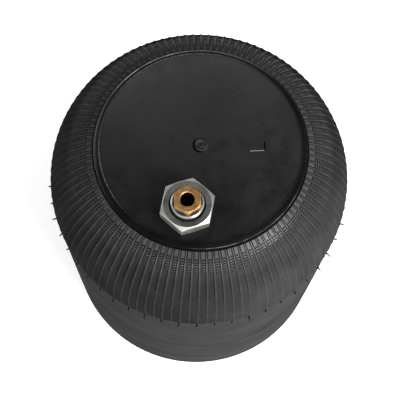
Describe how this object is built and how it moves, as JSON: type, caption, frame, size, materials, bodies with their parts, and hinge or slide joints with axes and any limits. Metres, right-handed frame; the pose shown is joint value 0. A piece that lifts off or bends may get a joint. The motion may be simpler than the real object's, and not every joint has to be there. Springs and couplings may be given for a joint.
{
  "type": "air bellows actuator",
  "caption": "Rolling-lobe air bellows actuator: ribbed rubber sleeve between a crimped steel bead plate with an off-centre air stud and a ribbed plastic piston with a threaded base.",
  "frame": {"origin": "centre of the piston's base, where it stands on the floor", "axes": "+Z along the bellows axis, from the piston's base to the bead plate; -Y from the axis towards the air stud"},
  "size_m": [0.238, 0.238, 0.3382],
  "materials": {
    "black_paint": "satin",
    "bead_wire": "satin",
    "zinc": "satin",
    "brass": "satin",
    "steel": "satin",
    "seal_rubber": "matte",
    "bellows_rubber": "matte",
    "bumper_rubber": "matte",
    "piston_plastic": "matte",
    "insert_brass": "satin"
  },
  "bodies": {
    "piston": {"piston": "piston_plastic", "lower_bead_core": "bead_wire", "bead_retainer": "steel", "piston_bolt": "steel", "bolt_washer": "steel", "bolt_seal": "seal_rubber", "nut_washer": "steel", "bolt_nut": "steel", "bumper": "bumper_rubber", "mount_inserts": "insert_brass"},
    "bellows": {"bellows": "bellows_rubber"},
    "head": {"upper_bead_plate": "black_paint", "upper_bead_core": "bead_wire", "air_stud": "zinc", "stud_gasket": "seal_rubber", "stud_nut": "zinc", "air_fitting": "brass", "fitting_seal": "seal_rubber", "fitting_grip_ring": "steel", "tube_seal": "seal_rubber"}
  },
  "joints": [
    {"name": "lobe_roll", "type": "slide", "parent": "piston", "child": "bellows", "axis": [0, 0, 1], "range_m": [-0.03, 0.075], "stiffness_N_per_m": 6000, "springref_m": 0.00485, "deforming": ["bellows"]},
    {"name": "head_lift", "type": "slide", "parent": "bellows", "child": "head", "axis": [0, 0, 1], "range_m": [-0.03, 0.075], "stiffness_N_per_m": 6000, "springref_m": 0.0014}
  ],
  "couplings": [
    {"joint": "head_lift", "follows": "lobe_roll", "ratio": 1}
  ]
}
